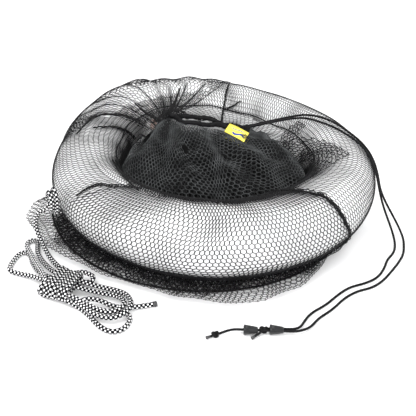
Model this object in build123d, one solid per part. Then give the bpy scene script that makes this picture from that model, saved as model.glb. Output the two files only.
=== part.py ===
from build123d import *
import os
from math import cos, sin, tan, radians, atan2, degrees, pi

# Floating catch bag: an inflated ring in a netting sleeve, a gathered mouth net with a drawstring, and a
# deep netting bag that is packed flat under the ring. +Z is up, the origin is on the ground under the
# ring's middle, and +X is the side where the drawstring leaves. All sizes are in millimetres.

# Inflated ring
ring_radius = 175.0        # ring's axis to the middle of the tube
tube_radius = 45.0         # inflated tube, outside
film_thickness = 0.5       # PVC film

# Netting sleeve round the ring
sleeve_slack = 0.6         # air between film and netting
net_thickness = 0.8        # knotless hexagonal netting
lower_seam_angle = -65.0   # round the tube, from outermost, up is positive
inner_seam_angle = 145.0
lower_seam_cord = 2.0      # radius of the bound seam where the bag hangs
inner_seam_cord = 1.2      # radius of the seam where the mouth net starts
cross_seam_at = -45.0      # round the ring, from +X
cross_seam_from = -57.0    # round the tube
cross_seam_to = 125.0
cross_seam_width = 4.0
cross_seam_thickness = 0.9
seam_gap = 0.05            # a sewn piece and what it is sewn to
through = 1.0              # how far a cutting body goes past what it cuts

# Bag packed flat under the ring
base_radius = 205.0
base_centre = (-10.0, -12.0)
base_thickness = 1.2
base_hem_cord = 1.2        # radius of the seam round the bag's floor
skirt_radius = 222.0       # the folded wall's outer edge on the ground
skirt_centre = (-12.0, -14.0)
skirt_inner_radius = 60.0
skirt_height = 5.0
layer_gap = 0.3            # between layers that lie on each other

# Mouth net, hem and label
mouth_centre = (-2.5, 9.0)
mouth_turn = -18.0         # the slit's long side, about +Z
mouth_half_length = 55.0   # along the hem's own middle line
mouth_half_width = 15.0
mouth_end_radius = 8.0
neck_height = 27.0         # mouth above the seam where the neck starts
neck_thickness = 1.4
neck_lip = 2.0             # the neck's top reaches this far outside the hem's middle line
hem_radius = 3.4
hem_bore = 1.9
label_width = 31.0
label_length = 18.0
label_thickness = 0.8
label_shift = 28.0         # from the mouth's middle, along the slit
label_gap = 1.0            # from the hem to the label's upper leaf
label_lift = 0.2           # upper leaf over the neck's top
lower_leaf_shift = (-3.0, -6.0)
lower_leaf_drop = 5.7      # lower leaf under the neck's inside

# Valve on the ring's inner wall
valve_at = 131.0           # round the ring
valve_angle = 172.0        # round the tube
valve_flange_radius = 9.0
valve_flange_height = 0.9
valve_stem_radius = 4.2
valve_stem_inside = 9.0
valve_stem_outside = 3.5
valve_bore_radius = 2.7
valve_flange_root = 3.0    # the flange's bar starts this far inside the film
plug_pin_radius = 2.6
plug_pin_length = 8.0
plug_cap_radius = 5.2
plug_cap_height = 1.8
valve_window = 12.0        # hole in the sleeve round the valve
valve_window_from = -4.0   # the cutting bar's ends, above the film
valve_window_to = 12.0

# Drawstring: one 3 mm cord with two tails
string_radius = 1.5
string_pitch = 3.6         # between the two tails where they run side by side
string_exit_turn = 40.0    # the way the tails leave the hem, about +Z
eyelet_gap = 0.3           # over both tails where they leave the hem
bell_length = 16.0
bell_narrow_radius = 3.7
bell_wide_radius = 5.7
bell_edge = 1.2            # rounding of the narrow end
bell_wall_gap = 0.25       # round the cord in a bell's bore
knot_radius = 4.6
knot_length = 11.0
knot_edge = 2.0
knot_gap = 1.1             # from a knot's end to the stopper beside it
end_knot_radius = 3.9
end_knot_edge = 1.8
end_knot_turn = 27.0
tip_radius = 1.8
tip_length = 5.0

# Tether rope
rope_radius = 3.0
rope_tip_length = 5.0
rope_tip_flare = 0.2       # the melted end is this much thicker
tether_knot_at = (-145.0, 15.0)    # round the ring, round the tube
tether_knot_stand = 6.4    # the knot's middle over the rope that lies on the netting
tether_loop_radius = 8.0
tether_loop_tilt = 78.0
tether_wrap_radius = 6.3
tether_wrap_length = 15.0
tether_wrap_drop = 6.5
tether_wrap_edge = 2.5
hank_height = 12.0
hank_edge = 5.0
hank_wrap_length = 28.0
hank_wrap_width = 50.0
hank_wrap_height = 18.0
hank_wrap_middle = (-167.0, -219.0)
hank_wrap_turn = -22.0
hank_outline = [
    (-240, -190), (-231, -130), (-217, -130), (-196, -184), (-140, -198), (-128, -206), (-84, -238),
    (-76, -262), (-92, -297), (-108, -298), (-140, -266), (-192, -250), (-212, -214),
]

# ---------------------------------------------------------------- places worked out from the sizes above
sleeve_inner = tube_radius + sleeve_slack
sleeve_outer = sleeve_inner + net_thickness
skirt_bottom = base_thickness + 2 * base_hem_cord + layer_gap
skirt_top = skirt_bottom + skirt_height
ring_z = skirt_top + layer_gap + sleeve_outer

ground_gap = 0.1
string_z = bell_wide_radius + ground_gap     # cord's height inside a stopper that lies on the ground
string_low = string_radius + ground_gap      # cord's height on the ground


def on_tube(around, angle, distance):
    """A point at a distance from the tube's middle line, around the ring and round the tube in degrees."""
    out = ring_radius + distance * cos(radians(angle))
    up = ring_z + distance * sin(radians(angle))
    return Vector(out * cos(radians(around)), out * sin(radians(around)), up)


def ring_of(minor, distance, angle):
    """A round cord that runs all the way round the ring."""
    major = ring_radius + distance * cos(radians(angle))
    height = ring_z + distance * sin(radians(angle))
    return Pos(0, 0, height) * Torus(major, minor)


arc_share = 0.45           # how much of the shorter run an arc may take


def cord_wire(points, name):
    """Straight runs joined by tangent arcs, each as large as its two runs allow."""
    corners = [Vector(*point) for point in points]
    radii = []
    for before, at, after in zip(corners, corners[1:], corners[2:]):
        turn = radians((at - before).get_angle(after - at))
        shorter = min((at - before).length, (after - at).length)
        radii.append(arc_share * shorter / tan(turn / 2))
    print(name, "smallest arc", round(min(radii), 1), "all", [round(radius) for radius in radii])
    return FilletPolyline(*corners, radius=radii)


def cord_tube(points, radius, name):
    """A round cord along its route."""
    path = cord_wire(points, name)
    tube = sweep(Plane(path @ 0, z_dir=path % 0) * Circle(radius), path=path)
    expected = pi * radius**2 * path.length
    print(name, "length", round(path.length, 1))
    print(name, "volume", round(tube.volume), "expected", round(expected))
    return tube


def cylinder_between(start, end, radius):
    """A round bar from one point to another."""
    axis = Vector(*end) - Vector(*start)
    return extrude(Plane(Vector(*start), z_dir=axis) * Circle(radius), amount=axis.length)


# ---------------------------------------------------------------- the bag's packed floor and wall
def make_base_panel():
    disc = Cylinder(base_radius, base_thickness, align=(Align.CENTER, Align.CENTER, Align.MIN))
    return Pos(*base_centre, 0) * disc


def make_base_hem():
    height = base_thickness + base_hem_cord + seam_gap
    return Pos(*base_centre, height) * Torus(base_radius - 2 * base_hem_cord, base_hem_cord)


def make_bag_wall():
    low = (Align.CENTER, Align.CENTER, Align.MIN)
    folded = Pos(*skirt_centre, skirt_bottom) * Cylinder(skirt_radius, skirt_height, align=low)
    return folded - Pos(0, 0, skirt_bottom) * Cylinder(skirt_inner_radius, skirt_height, align=low)


# ---------------------------------------------------------------- the inflated ring and its valve
valve_seat = on_tube(valve_at, valve_angle, tube_radius)
valve_out = (valve_seat - on_tube(valve_at, valve_angle, 0)).normalized()


def valve_bar(start, end, radius):
    """A bar on the valve's axis, between two heights above the film."""
    return cylinder_between(valve_seat + valve_out * start, valve_seat + valve_out * end, radius)


def make_float_tube():
    outside = Pos(0, 0, ring_z) * Torus(ring_radius, tube_radius)
    inside = Pos(0, 0, ring_z) * Torus(ring_radius, tube_radius - film_thickness)
    hole = valve_bar(-valve_stem_inside, valve_stem_outside, valve_stem_radius + seam_gap)
    return outside - inside - hole


def make_valve_base():
    flange = valve_bar(-valve_flange_root, valve_flange_height, valve_flange_radius)
    flange -= Pos(0, 0, ring_z) * Torus(ring_radius, tube_radius + seam_gap)
    stem = valve_bar(-valve_stem_inside, valve_stem_outside, valve_stem_radius)
    bore = valve_bar(-valve_stem_inside - through, valve_stem_outside + through, valve_bore_radius)
    return flange + stem - bore


def make_valve_plug():
    seat = valve_stem_outside + seam_gap
    pin = valve_bar(seat - plug_pin_length, seat, plug_pin_radius)
    return pin + valve_bar(seat, seat + plug_cap_height, plug_cap_radius)


# ---------------------------------------------------------------- the netting sleeve and its seams
def make_sleeve_net():
    outside = Pos(0, 0, ring_z) * Torus(ring_radius, sleeve_outer)
    inside = Pos(0, 0, ring_z) * Torus(ring_radius, sleeve_inner)
    return outside - inside - valve_bar(valve_window_from, valve_window_to, valve_window)


def make_lower_seam():
    return ring_of(lower_seam_cord, sleeve_outer + lower_seam_cord + seam_gap, lower_seam_angle)


def make_inner_seam():
    return ring_of(inner_seam_cord, sleeve_outer + inner_seam_cord + seam_gap, inner_seam_angle)


def band_face(low, high, start, size):
    """A flat band between two radii, from a start angle through a size in degrees."""
    outer = CenterArc((0, 0), high, start, size)
    inner = CenterArc((0, 0), low, start, size)
    return make_face([outer, Line(outer @ 1, inner @ 1), inner, Line(inner @ 0, outer @ 0)])


def make_cross_seam():
    low = sleeve_outer + seam_gap
    high = low + cross_seam_thickness
    profile = band_face(low, high, cross_seam_from, cross_seam_to - cross_seam_from)
    turn = radians(cross_seam_at)
    outwards = (cos(turn), sin(turn), 0)
    across = (sin(turn), -cos(turn), 0)
    upright = Plane(on_tube(cross_seam_at, 0, 0), x_dir=outwards, z_dir=across)
    return extrude(upright * profile, amount=cross_seam_width / 2, both=True)


# ---------------------------------------------------------------- the mouth net, hem, drawstring and label
neck_foot_radius = ring_radius + (sleeve_outer + inner_seam_cord) * cos(radians(inner_seam_angle))
inner_seam_z = ring_z + (sleeve_outer + inner_seam_cord) * sin(radians(inner_seam_angle))
neck_foot = inner_seam_z + inner_seam_cord + ground_gap
neck_top = neck_foot + neck_height
hem_z = neck_top + hem_radius + ground_gap
mouth_place = Pos(*mouth_centre, hem_z) * Rot(0, 0, mouth_turn)


def mouth_oval():
    """The hem's middle line: two end arcs and two long side arcs, tangent to each other."""
    end_middle = mouth_half_length - mouth_end_radius
    side_radius = end_middle**2 + mouth_half_width**2 - mouth_end_radius**2
    side_radius /= 2 * (mouth_half_width - mouth_end_radius)
    drop = side_radius - mouth_half_width
    turn = degrees(atan2(drop, end_middle))
    right = CenterArc((end_middle, 0), mouth_end_radius, -turn, 2 * turn)
    back = CenterArc((0, -drop), side_radius, turn, 180 - 2 * turn)
    left = CenterArc((-end_middle, 0), mouth_end_radius, 180 - turn, 2 * turn)
    front = CenterArc((0, drop), side_radius, 180 + turn, 180 - 2 * turn)
    return Wire([right, back, left, front])


def along_mouth(radius):
    path = mouth_oval()
    return mouth_place * sweep(Plane(path @ 0, z_dir=path % 0) * Circle(radius), path=path)


def neck_cone(inset, drop):
    """The neck's outside, or its inside with an inset and a drop."""
    foot = Pos(0, 0, neck_foot - drop) * Circle(neck_foot_radius - inset)
    lip = Pos(*mouth_centre, neck_top - drop) * Rot(0, 0, mouth_turn)
    lip *= Ellipse(mouth_half_length + neck_lip - inset, mouth_half_width + neck_lip - inset)
    return loft([foot, lip])


def make_neck_net():
    shell = neck_cone(0, 0) - neck_cone(neck_thickness, neck_thickness)
    slit = Ellipse(mouth_half_length - hem_radius, mouth_half_width - hem_radius)
    cut = extrude(slit, amount=3 * neck_thickness, both=True)
    return shell - Pos(*mouth_centre, neck_top) * Rot(0, 0, mouth_turn) * cut


exit_turn = radians(string_exit_turn - mouth_turn)
exit_along = mouth_half_length - mouth_end_radius + mouth_end_radius * cos(exit_turn)
exit_point = (mouth_place * Pos(exit_along, mouth_end_radius * sin(exit_turn), 0)).position
exit_way = Vector(cos(radians(string_exit_turn)), sin(radians(string_exit_turn)), 0)
exit_side = Vector(-exit_way.Y, exit_way.X, 0)


def make_mouth_hem():
    hem = along_mouth(hem_radius) - along_mouth(hem_bore)
    height = 2 * string_radius + eyelet_gap
    eyelet = Box(3 * hem_radius, string_pitch + height, height, align=(Align.MIN, Align.CENTER, Align.CENTER))
    return hem - Pos(exit_point) * Rot(0, 0, string_exit_turn) * eyelet


def make_label():
    """Two leaves of a folded label: one over the neck net, one under it."""
    slope = degrees(atan2(neck_height, neck_foot_radius - mouth_half_width - mouth_centre[1]))
    leaf = Box(label_width, label_length, label_thickness, align=(Align.CENTER, Align.MAX, Align.MIN))
    start = mouth_half_width + hem_radius + label_gap
    low = hem_radius + neck_thickness + lower_leaf_drop - label_lift
    over = Pos(label_shift, -start, label_lift - hem_radius) * Rot(slope, 0, 0) * leaf
    along, inwards = lower_leaf_shift
    under = Pos(label_shift + along, inwards - start, -low) * Rot(slope, 0, 0) * leaf
    return mouth_place * (over + under)


# ---------------------------------------------------------------- the drawstring's two tails
def start_of(side):
    return exit_point + exit_way * (string_radius + seam_gap) + exit_side * (side * string_pitch / 2)


tail_a_route = [
    tuple(start_of(1)),
    (67, 17.3, 112.5), (88, 35.5, 109), (111, 54, 105.8), (133, 70, 103),
    (153, 62, 106.5), (173, 42, 108), (188, 19, 104.5), (200, 4, 98.6), (210.5, -9, 91),
    (217.5, -21.5, 80.5), (221.5, -33, 68), (224.5, -43.5, 53), (234, -52, 39),
    (246, -59, 24), (255.5, -69, 10), (260, -86, 3), (258, -103, string_low), (254, -121, string_low),
    (245, -139, string_low), (233, -158, string_low), (219, -179, string_low), (203, -194, string_low),
    (185, -201, string_low), (167, -216, string_low), (151, -238, string_low), (132, -256, string_low),
    (122, -274, 3.2), (107, -284.7, string_z), (91, -284.9, string_z), (75, -284.7, string_z),
    (60, -284.9, string_z), (46, -284.7, string_z), (34, -284.9, string_z), (25.5, -287.2, 4.4),
    (17, -290.9, 3.0), (8, -295, 2.4),
]
tail_b_route = [
    tuple(start_of(-1)),
    (69.5, 14.2, 112.5), (91, 32, 109), (114, 49.5, 105.8), (134, 60, 102.8),
    (152, 47, 105), (169, 29, 107.8), (184, 11, 104.8), (197, -2, 98.8), (208, -14.5, 91),
    (215, -27, 80.5), (219, -38.5, 68), (222, -49.5, 53), (228.5, -58.5, 38.5),
    (237, -66.5, 23.5), (244.5, -76, 10), (247.5, -91, 3), (246, -106, string_low), (241, -120, string_low),
    (231, -134, string_low), (225, -152, string_low), (214, -172, string_low), (197, -185, string_low),
    (176, -194, string_low), (160, -210, string_low), (144, -230, string_low), (125, -246, string_low),
    (116, -262, 2.4), (111, -274.5, 4.4), (103, -281.2, string_z), (88, -281.1, string_z),
    (71.5, -281.3, string_z), (65, -287, 4.8), (58, -293, 3.4),
]
tether_route = [
    (-190, -133, 61), (-206, -129, 55), (-215, -126, 40), (-215, -127, 24), (-208, -135, 12.5),
    (-200, -151, 9.5), (-190, -168, 7.5), (-178, -184, 6.5), (-166, -200, 7),
]
touch_down = -98.0         # each tail lies on the ground in front of this

whole_side = 1000.0        # a box that holds the whole part

knot_place = (68.5, -283.4)
outer_bell_place = (knot_place[0] - knot_length / 2 - knot_gap, -284.8)
inner_bell_place = (knot_place[0] + knot_length / 2 + knot_gap + bell_length, -283.0)
end_knot_place = (14.5, -292.5)


def knot(radius, edge):
    """A knot's outline, in line with X."""
    body = Rot(0, 90, 0) * Cylinder(radius, knot_length)
    return fillet(body.edges(), edge)


def make_knot_mid():
    return Pos(*knot_place, string_z) * knot(knot_radius, knot_edge)


def make_end_knot():
    height = end_knot_radius + ground_gap
    return Pos(*end_knot_place, height) * Rot(0, 0, end_knot_turn) * knot(end_knot_radius, end_knot_edge)


def part_of(tube, side):
    """What is behind (Align.MIN) or in front of (Align.MAX) the line where the tails touch down."""
    half = Box(whole_side, whole_side, whole_side, align=(Align.CENTER, side, Align.CENTER))
    return tube & Pos(0, touch_down, 0) * half


def make_tip(route):
    """The melted end of a tail, in line with the cord's last run."""
    before, last = Vector(*route[-2]), Vector(*route[-1])
    way = (last - before).normalized()
    start = last + way * seam_gap
    return cylinder_between(start, start + way * tip_length, tip_radius)


bore_size = 2 * (string_radius + bell_wall_gap)


def bell(narrow_end, hole):
    """A moulded stopper on its side, with its narrow end at a point and its wide end towards -X."""
    body = Cone(bell_wide_radius, bell_narrow_radius, bell_length)
    body = fillet(body.edges().sort_by(Axis.Z)[-1:], bell_edge)
    bored = body - extrude(hole, amount=bell_length / 2 + through, both=True)
    return Pos(narrow_end[0] - bell_length / 2, narrow_end[1], string_z) * Rot(0, 90, 0) * bored


# ---------------------------------------------------------------- the tether rope
def make_tether_knot():
    around, angle = tether_knot_at
    centre = on_tube(around, angle, sleeve_outer + rope_radius + tether_knot_stand)
    loop = Rot(0, tether_loop_tilt, 0) * Torus(tether_loop_radius, rope_radius)
    wrap = Rot(90, 0, 0) * Cylinder(tether_wrap_radius, tether_wrap_length)
    wrap = Pos(0, 0, -tether_wrap_drop) * fillet(wrap.edges(), tether_wrap_edge)
    return Pos(centre) * Rot(0, 0, around) * (loop + wrap)


def make_tether_hank():
    body = extrude(make_face(Polyline(*hank_outline, close=True)), amount=hank_height)
    body = fillet(body.edges().filter_by(Axis.Z), hank_edge)
    low = (Align.CENTER, Align.CENTER, Align.MIN)
    wrap = Box(hank_wrap_length, hank_wrap_width, hank_wrap_height, align=low)
    wrap = fillet(wrap.edges().filter_by(Axis.X), hank_edge)
    return body + Pos(*hank_wrap_middle, 0) * Rot(0, 0, hank_wrap_turn) * wrap


tether_tail_z = rope_radius + rope_tip_flare + ground_gap
tether_tail_ends = ((-84, -250, tether_tail_z), (-58, -243, tether_tail_z))


def make_tether_tip():
    start, end = Vector(*tether_tail_ends[0]), Vector(*tether_tail_ends[1])
    way = (end - start).normalized()
    return cylinder_between(end + way * seam_gap, end + way * rope_tip_length, rope_radius + rope_tip_flare)


# ---------------------------------------------------------------- build and write every piece
tail_a = cord_tube(tail_a_route, string_radius, "tail_a")
tail_b = cord_tube(tail_b_route, string_radius, "tail_b")
knot_mid = make_knot_mid()
end_knot = make_end_knot()
tether_hank = make_tether_hank()
tether_knot = make_tether_knot()

pieces = {
    "base_panel": make_base_panel(),
    "base_hem": make_base_hem(),
    "bag_wall": make_bag_wall(),
    "float_tube": make_float_tube(),
    "valve_base": make_valve_base(),
    "valve_plug": make_valve_plug(),
    "sleeve_net": make_sleeve_net(),
    "lower_seam": make_lower_seam(),
    "inner_seam": make_inner_seam(),
    "cross_seam": make_cross_seam(),
    "neck_net": make_neck_net(),
    "mouth_hem": make_mouth_hem(),
    "label": make_label(),
    "drawstring_loop": along_mouth(string_radius),
    "tail_a_upper": part_of(tail_a, Align.MIN),
    "tail_b_upper": part_of(tail_b, Align.MIN),
    "tail_a_lower": part_of(tail_a, Align.MAX) - knot_mid - end_knot,
    "tail_b_lower": part_of(tail_b, Align.MAX) - knot_mid,
    "knot_mid": knot_mid,
    "end_knot": end_knot,
    "tail_a_tip": make_tip(tail_a_route),
    "tail_b_tip": make_tip(tail_b_route),
    "bell_inner": bell(inner_bell_place, SlotOverall(string_pitch + bore_size, bore_size, rotation=90)),
    "bell_outer": bell(outer_bell_place, Circle(bore_size / 2)),
    "tether_knot": tether_knot,
    "tether_rope": cord_tube(tether_route, rope_radius, "tether") - tether_knot - tether_hank,
    "tether_hank": tether_hank,
    "tether_tail": cylinder_between(*tether_tail_ends, rope_radius) - tether_hank,
    "tether_tip": make_tether_tip(),
}
os.makedirs("parts", exist_ok=True)
for name, shape in pieces.items():
    export_step(shape, f"parts/{name}.step")
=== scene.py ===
from math import cos, pi, radians, sin

import bpy
import numpy as np
from mathutils import Matrix, Vector, noise


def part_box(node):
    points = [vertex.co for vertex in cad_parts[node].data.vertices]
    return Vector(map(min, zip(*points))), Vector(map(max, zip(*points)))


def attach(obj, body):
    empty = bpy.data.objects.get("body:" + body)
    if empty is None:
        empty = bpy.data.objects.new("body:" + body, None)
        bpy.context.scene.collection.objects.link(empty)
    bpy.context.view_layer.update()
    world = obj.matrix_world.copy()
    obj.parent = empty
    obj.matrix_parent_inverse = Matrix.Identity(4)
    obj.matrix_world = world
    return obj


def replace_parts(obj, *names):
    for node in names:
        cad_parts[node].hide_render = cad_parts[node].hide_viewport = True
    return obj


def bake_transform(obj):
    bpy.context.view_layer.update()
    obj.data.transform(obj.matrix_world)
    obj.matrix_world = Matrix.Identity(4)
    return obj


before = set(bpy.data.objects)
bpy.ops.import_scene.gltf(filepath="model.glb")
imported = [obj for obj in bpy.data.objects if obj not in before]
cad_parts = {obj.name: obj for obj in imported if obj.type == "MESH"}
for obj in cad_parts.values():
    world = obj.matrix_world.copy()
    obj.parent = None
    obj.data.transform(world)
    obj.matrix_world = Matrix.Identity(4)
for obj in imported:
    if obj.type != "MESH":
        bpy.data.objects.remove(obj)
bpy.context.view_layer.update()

# A floating catch bag: an inflated ring in a netting sleeve, a gathered mouth net with a drawstring, a
# netting bag that is packed flat under the ring, and a tether rope wound into a hank. Metres throughout;
# listed points are written in millimetres and turned into metres by mm().

RING_RADIUS = 0.175
RING_Z = 0.0556
FILM_RADIUS = 0.045
NET_AT = 0.0462            # middle of the sleeve's threads from the tube's middle line
THREAD = 0.00051           # a thread's radius at the front; farther or layered netting has finer threads
MOUND_THREAD, BASE_THREAD, WALL_THREAD = 0.00044, 0.00042, 0.00041
NECK_THREAD, REAR_THREAD, NECK_BACK_THREAD = 0.00040, 0.00036, 0.00032
STRING = 0.0015            # radii of the drawstring and the tether rope
ROPE = 0.003
STRING_STEP = 0.0009       # how far apart the rings of faces along them are
ROPE_STEP = ROPE * 0.62 / 3
STRING_FACES = 12          # faces round them
ROPE_FACES = 24
LOW_V, HIGH_V = -65.0, 186.0   # the sleeve's lower seam and its tucked-in edge, in degrees round the tube
INNER_SEAM_V = 145
LOW_SEAM_AT, INNER_SEAM_AT = 0.0484, 0.0476   # the seams' distances from the tube's middle line
BASE_X, BASE_Y = -0.010, -0.012   # middle of the bag's floor
BASE_HEM_RADIUS = 0.2026
CAP_THREAD = 0.4           # how far a thread goes past its knot, in its own radii


def mm(points):
    return np.array(points, float) * 0.001


# ------ camera
def make_camera():
    """From the front, 1.2 m away and about 30 degrees up, with a slight roll."""
    elevation, roll = radians(29.68), radians(2.148)
    back = Vector((0, -cos(elevation), sin(elevation)))
    level = Vector((1, 0, 0))
    upright = back.cross(level)
    right = level * cos(roll) + upright * sin(roll)
    up = upright * cos(roll) - level * sin(roll)
    data = bpy.data.cameras.new("camera")
    data.sensor_width = 36
    data.lens = 75.45
    data.shift_x = -0.0013
    data.shift_y = -0.0971
    data.clip_start = 0.05
    camera = bpy.data.objects.new("camera", data)
    place = Matrix((right, up, back)).transposed().to_4x4()
    place.translation = Vector((0, 0, 0.05)) + back * 1.2
    camera.matrix_world = place
    bpy.context.scene.collection.objects.link(camera)
    bpy.context.scene.camera = camera


make_camera()


# ------ materials
def material(name, dark, light, rough, grain=900.0, bump=0.3, blotch=25.0, specular=0.5, coat=0.0, sheen=0.0):
    """A finish with colour and roughness that vary a little, and a fine grain."""
    made = bpy.data.materials.new(name)
    made.use_nodes = True
    nodes, links = made.node_tree.nodes, made.node_tree.links
    shader = nodes["Principled BSDF"]
    shader.inputs["Specular IOR Level"].default_value = specular
    shader.inputs["Coat Weight"].default_value = coat
    shader.inputs["Sheen Weight"].default_value = sheen
    where = nodes.new("ShaderNodeTexCoord")
    patches = nodes.new("ShaderNodeTexNoise")
    patches.inputs["Scale"].default_value = blotch
    patches.inputs["Detail"].default_value = 6.0
    ramp = nodes.new("ShaderNodeValToRGB")
    ramp.color_ramp.elements[0].position = 0.32
    ramp.color_ramp.elements[0].color = (*dark, 1)
    ramp.color_ramp.elements[1].position = 0.68
    ramp.color_ramp.elements[1].color = (*light, 1)
    spread = nodes.new("ShaderNodeMapRange")
    spread.inputs["To Min"].default_value = rough[0]
    spread.inputs["To Max"].default_value = rough[1]
    fine = nodes.new("ShaderNodeTexNoise")
    fine.inputs["Scale"].default_value = grain
    fine.inputs["Detail"].default_value = 3.0
    relief = nodes.new("ShaderNodeBump")
    relief.inputs["Strength"].default_value = bump
    relief.inputs["Distance"].default_value = 0.0004
    for texture in (patches, fine):
        links.new(where.outputs["Object"], texture.inputs["Vector"])
    links.new(patches.outputs["Fac"], ramp.inputs["Fac"])
    links.new(ramp.outputs["Color"], shader.inputs["Base Color"])
    links.new(fine.outputs["Fac"], spread.inputs["Value"])
    links.new(spread.outputs["Result"], shader.inputs["Roughness"])
    links.new(fine.outputs["Fac"], relief.inputs["Height"])
    links.new(relief.outputs["Normal"], shader.inputs["Normal"])
    return made


net_black = material("net_black", (0.004, 0.004, 0.0045), (0.012, 0.012, 0.013), (0.5, 0.75), 2500, 0.35, 60, 0.2)
# A lighter copy of the black netting for the mouth net's top layer: the lighter colour is a painted highlight on its
# threads.
mound_top_painted_highlight = material("mound_top_painted_highlight", (0.008, 0.009, 0.0095), (0.075, 0.080, 0.082), (0.45, 0.7), 2500, 0.4, 55, 0.25)
# Near-black finish of the painted-shade sheet under the mouth net.
painted_shade_black = material("painted_shade_black", (0.002, 0.002, 0.002), (0.007, 0.0075, 0.0075), (0.8, 0.95), 700, 0.8, 60, 0.05)
tape_black = material("tape_black", (0.003, 0.003, 0.0035), (0.010, 0.010, 0.011), (0.65, 0.85), 1800, 0.5, 80, 0.12)
cord_black = material("cord_black", (0.003, 0.003, 0.0035), (0.010, 0.010, 0.011), (0.55, 0.75), 2200, 0.4, 150, 0.12)
plastic_black = material("plastic_black", (0.004, 0.004, 0.005), (0.010, 0.011, 0.012), (0.12, 0.24), 1500, 0.10, 90,
                         0.35)
pvc_white = material("pvc_white", (0.86, 0.865, 0.87), (0.93, 0.93, 0.935), (0.22, 0.36), 160, 0.12, 18, 0.5, 0.25)
pvc_clear = material("pvc_clear", (0.62, 0.45, 0.40), (0.76, 0.60, 0.55), (0.3, 0.45), 300, 0.1, 120, 0.5, 0.2)
rope_white = material("rope_white", (0.74, 0.74, 0.75), (0.88, 0.88, 0.88), (0.6, 0.8), 2600, 0.5, 300, 0.3)
rope_black = material("rope_black", (0.002, 0.002, 0.003), (0.006, 0.006, 0.008), (0.6, 0.8), 2600, 0.5, 300, 0.08)
rope_melted = material("rope_melted", (0.010, 0.010, 0.011), (0.05, 0.05, 0.052), (0.25, 0.45), 900, 0.6, 500, 0.5)
label_yellow = material("label_yellow", (0.86, 0.70, 0.06), (0.93, 0.79, 0.11), (0.45, 0.6), 1600, 0.35, 200, 0.4)
label_blue = material("label_blue", (0.006, 0.035, 0.30), (0.012, 0.06, 0.42), (0.4, 0.55), 1600, 0.3, 300, 0.4)


# ------ meshes
def mesh_object(name, points, faces, materials, slots=None):
    """A smooth mesh from points and faces: an array whose faces have as many corners, or a list of such arrays."""
    groups = [np.asarray(group, np.int32) for group in (faces if isinstance(faces, list) else [faces])]
    sizes = np.concatenate([np.full(len(group), group.shape[1]) for group in groups])
    corners = np.concatenate([group.ravel() for group in groups])
    mesh = bpy.data.meshes.new(name)
    mesh.vertices.add(len(points))
    mesh.vertices.foreach_set("co", np.asarray(points, np.float32).ravel())
    mesh.loops.add(len(corners))
    mesh.loops.foreach_set("vertex_index", corners)
    mesh.polygons.add(len(sizes))
    mesh.polygons.foreach_set("loop_start", (np.cumsum(sizes) - sizes).astype(np.int32))
    for finish in materials:
        mesh.materials.append(finish)
    if slots is not None:
        mesh.polygons.foreach_set("material_index", np.asarray(slots, np.int32))
    mesh.polygons.foreach_set("use_smooth", np.full(len(sizes), True))
    mesh.update()
    mesh.validate()
    made = bpy.data.objects.new(name, mesh)
    bpy.context.scene.collection.objects.link(made)
    return made


def grid_faces(rows, columns, closed_rows=False, closed_columns=False):
    """The quads of a grid of rows x columns points."""
    i = np.arange(rows if closed_rows else rows - 1)
    j = np.arange(columns if closed_columns else columns - 1)
    a, b = np.meshgrid(i, j, indexing="ij")
    c, d = (a + 1) % rows, (b + 1) % columns
    quads = np.stack([a * columns + b, c * columns + b, c * columns + d, a * columns + d], axis=-1)
    return quads.reshape(-1, 4)


def unit(vectors):
    return vectors / np.maximum(np.linalg.norm(vectors, axis=-1, keepdims=True), 1e-12)


def spaced(line, step):
    """The same line with points that are step apart."""
    line = np.asarray(line, float)
    along = np.concatenate([[0], np.cumsum(np.linalg.norm(np.diff(line, axis=0), axis=1))])
    at = np.linspace(0, along[-1], max(3, int(round(along[-1] / step)) + 1))
    return np.stack([np.interp(at, along, line[:, k]) for k in range(3)], axis=1)


def length_of(line):
    return float(np.linalg.norm(np.diff(np.asarray(line), axis=0), axis=1).sum())


def spline_line(route, step):
    """Points read from a smooth NURBS spline that has the route's points as its control points."""
    curve = bpy.data.curves.new("route", "CURVE")
    curve.dimensions = "3D"
    spline = curve.splines.new("NURBS")
    spline.points.add(len(route) - 1)
    for point, at in zip(spline.points, route):
        point.co = (*at, 1)
    spline.order_u = 3
    spline.use_endpoint_u = True
    spline.resolution_u = 12
    holder = bpy.data.objects.new("route", curve)
    mesh = bpy.data.meshes.new_from_object(holder)
    line = np.array([vertex.co for vertex in mesh.vertices], float)
    bpy.data.meshes.remove(mesh)
    bpy.data.objects.remove(holder)
    bpy.data.curves.remove(curve)
    return spaced(line, step)


def frames_along(line, closed=False):
    """Two directions square to a line that turn as little as they can."""
    if closed:
        tangent = unit(np.roll(line, -1, axis=0) - np.roll(line, 1, axis=0))
    else:
        tangent = unit(np.gradient(line, axis=0))
    start = np.cross(tangent[0], (0, 0, 1))
    if np.linalg.norm(start) < 0.1:
        start = np.cross(tangent[0], (1, 0, 0))
    sides = [unit(start)]
    for way in tangent[1:]:
        last = sides[-1]
        sides.append(unit(last - way * (last @ way)))
    sides = np.array(sides)
    ups = np.cross(tangent, sides)
    if closed:
        first = sides[-1] - tangent[0] * (sides[-1] @ tangent[0])
        twist = np.arctan2(first @ ups[0], first @ sides[0])
        turn = -twist * np.arange(len(line)) / len(line)
        sides, ups = (sides * np.cos(turn)[:, None] + ups * np.sin(turn)[:, None],
                      ups * np.cos(turn)[:, None] - sides * np.sin(turn)[:, None])
    return sides, ups


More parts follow.
